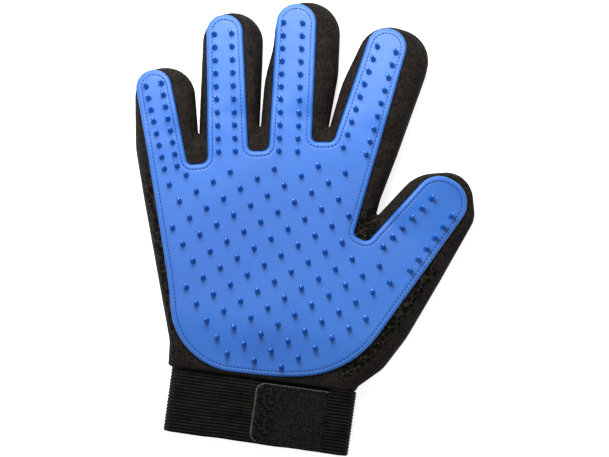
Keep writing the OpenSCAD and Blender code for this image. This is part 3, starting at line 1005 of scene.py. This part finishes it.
def build_tab():
    """The hook tab: woven cover, strip of hooks, taped edge and stitching."""
    low, high = TAB_MID_Y - TAB_W / 2, TAB_MID_Y + TAB_W / 2
    corners = [(TAB_LEFT, low, 5), (TAB_LEFT, high, 5), (TAB_RIGHT, high, 0.6), (TAB_RIGHT, low, 0.6)]
    outline = rounded(corners, 0.8)
    rings = ring_points(outline, TAB_INSETS[1:])
    grid = hexagons(outline, 1.0, 3.4)
    flat, tris = triangulate([outline], [], thin_out(np.concatenate(rings + [grid]), 0.08))
    centre = flat[tris].mean(1)
    inside = distance(centre, outline) > 0
    tris, centre = tris[inside], centre[inside]
    d = depths(flat, outline)
    middle = STRAP_Z + 1.0
    along = flat[:, 0] - TAB_LEFT
    in_pile = smooth(along, PILE_FROM - 0.3, PILE_FROM + 0.3) * smooth(d, 1.2, 2.0)
    in_pile *= 1 - smooth(along, PILE_TO - 0.4, PILE_TO + 0.4)
    fuzz = rng.uniform(-1, 1, len(flat))
    top = middle + np.interp(d, TAB_INSETS, TAB_FACE) + in_pile * (0.45 + 0.22 * fuzz) + 0.05 * fuzz * (d > 2)
    under = middle - np.interp(d, TAB_INSETS, TAB_UNDER) - 0.12 * np.abs(fuzz) * (d > 1.5)
    b = Builder()
    depth, x = distance(centre, outline), centre[:, 0] - TAB_LEFT
    edged = (depth < 0.9) & (x < 4) | (depth < 0.45) & (centre[:, 1] > high - 1)
    kind = np.where(edged, 2, np.where((x > PILE_FROM) & (x < PILE_TO) & (depth > 1.4), 1, 0))
    b.add(from_wrist(flat[:, 0], flat[:, 1], top), tris, kind)
    b.add(from_wrist(flat[:, 0], flat[:, 1], under), tris[:, ::-1], np.where(depth < 0.9, 0, 1))
    for place, way in zip(*stitch_path(outline, 2.0, 1.9)):
        stitch = capsule((*place, middle + 0.95), (*way, 0), 1.35, 0.17)
        b.grid(from_wrist(stitch[..., 0], stitch[..., 1], stitch[..., 2]), 3, closed=True)
    tab = b.build("hook_tab_cover", [TWILL, HOOKS, TAPE, BLACK])
    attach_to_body(tab, "tab")
    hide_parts("hook_tab")


def build_patch():
    """The loop patch on the band, under the closed tab."""
    xs = np.arange(TAB_LEFT + 2, TAB_RIGHT - 2 + 0.01, 1.0)
    ys = np.arange(TAB_MID_Y - TAB_W / 2 + 2, TAB_MID_Y + TAB_W / 2 - 2 + 0.01, 1.0)
    gx, gy = np.meshgrid(xs, ys, indexing="ij")
    border = np.minimum(np.minimum(gx - xs[0], xs[-1] - gx), np.minimum(gy - ys[0], ys[-1] - gy))
    z = BAND_H + 0.1 + 0.75 * np.sqrt(np.clip(1 - (1 - np.minimum(border / 1.5, 1)) ** 2, 0, 1))
    z += rng.uniform(-0.12, 0.12, z.shape) * (border > 1)
    b = Builder()
    b.grid(from_wrist(gx, gy, z)[::-1], 0)
    patch = b.build("loop_patch_pile", [LOOPS])
    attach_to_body(patch, "hand")
    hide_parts("loop_patch")


build_shell()
build_pad()
build_cuff()
build_strap()
build_strap_end()
build_tab()
build_patch()


# ---------------------------------------------------------------- floor, light, camera

def stage_floor():
    """A white floor that runs on to the horizon."""
    size = 60.0
    corners = [(-size, -size, 0), (size, -size, 0), (size, size, 0), (-size, size, 0)]
    mesh = bpy.data.meshes.new("floor")
    mesh.from_pydata(corners, [], [(0, 1, 2, 3)])
    t = Tree("floor_white", 0.9)
    colour = t.ramp(t.noise(3, 2), (0.3, (0.86, 0.86, 0.86)), (0.7, (0.9, 0.9, 0.9)))
    t.shader.inputs["Emission Color"].default_value = (1, 1, 1, 1)
    t.shader.inputs["Emission Strength"].default_value = 0.8
    mesh.materials.append(t.finish(colour, [(t.noise(40), 0.0002, 0.1)]))
    floor = bpy.data.objects.new("floor", mesh)
    bpy.context.scene.collection.objects.link(floor)


def area_light(name, place, target, size, power):
    """A round lamp that faces its target."""
    light = bpy.data.lights.new(name, "AREA")
    light.shape, light.size, light.energy = "DISK", size, power
    obj = bpy.data.objects.new(name, light)
    obj.location = place
    obj.rotation_euler = (Vector(target) - Vector(place)).to_track_quat("-Z", "Y").to_euler()
    bpy.context.scene.collection.objects.link(obj)


stage_floor()
area_light("key", (-0.1, 0.35, 0.4), (-0.02, 0.03, 0), 0.3, 4.2)
area_light("fill_right", (0.9, 0.1, 0.9), (0, 0, 0), 0.9, 0.8)
area_light("fill_low", (-0.5, -0.9, 0.7), (0, 0, 0), 0.9, 1.6)

world = bpy.data.worlds.new("soft_room")
world.use_nodes = True
world.node_tree.nodes["Background"].inputs["Color"].default_value = (0.95, 0.97, 1.0, 1)
world.node_tree.nodes["Background"].inputs["Strength"].default_value = 0.24
bpy.context.scene.world = world
bpy.context.scene.view_settings.view_transform = "Standard"

# A long lens far above the palm
camera = bpy.data.cameras.new("camera")
camera.sensor_width, camera.lens = 36, 258
camera.clip_start = 0.05
eye = bpy.data.objects.new("camera", camera)
eye.location = (-0.0003, -0.0001, 2.415)
bpy.context.scene.collection.objects.link(eye)
bpy.context.scene.camera = eye
